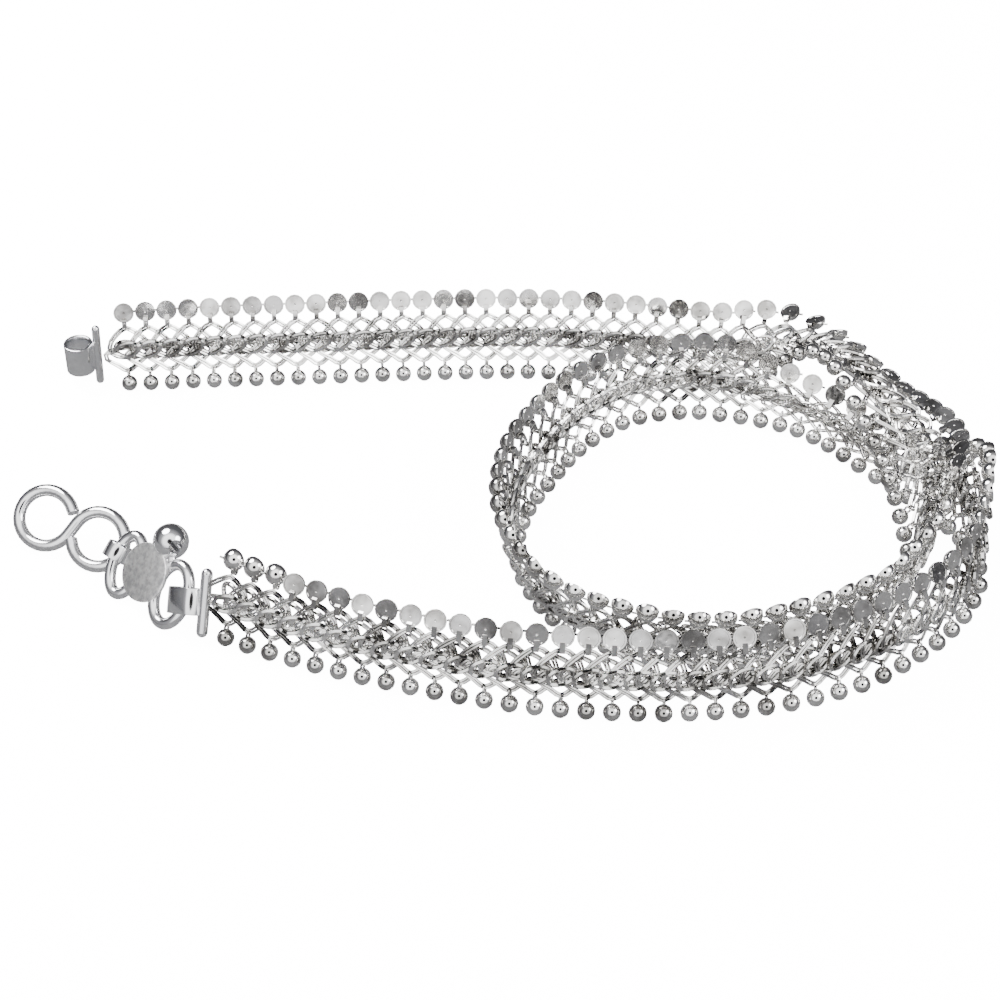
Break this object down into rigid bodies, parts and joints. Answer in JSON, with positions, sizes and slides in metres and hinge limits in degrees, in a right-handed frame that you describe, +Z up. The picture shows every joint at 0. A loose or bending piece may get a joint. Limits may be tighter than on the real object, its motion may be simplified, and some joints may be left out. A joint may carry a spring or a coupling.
{
  "type": "waist chain",
  "caption": "Silver waist chain lying open in loops: woven band edged with half-balls above and balls below, a tube eye at one end and an S-hook on a ring link with a round plate at the other",
  "frame": {"origin": "middle of the chain's footprint, on the surface that it lies on", "axes": "+X along the long way of the loop, away from the hook and the eye; +Y from the near run to the far run; +Z up, across the band's width"},
  "size_m": [0.2444, 0.1422, 0.0256],
  "materials": {
    "woven_silver": "silver wire links, polished, close woven",
    "polished_silver": "bright polished silver"
  },
  "bodies": {
    "root": {"woven_band": "woven_silver", "ball_row": "polished_silver", "half_ball_row": "polished_silver", "eye_end": "polished_silver", "hook_end": "polished_silver", "ring_link": "polished_silver", "strip_collar": "polished_silver", "s_hook": "polished_silver"}
  },
  "joints": []
}
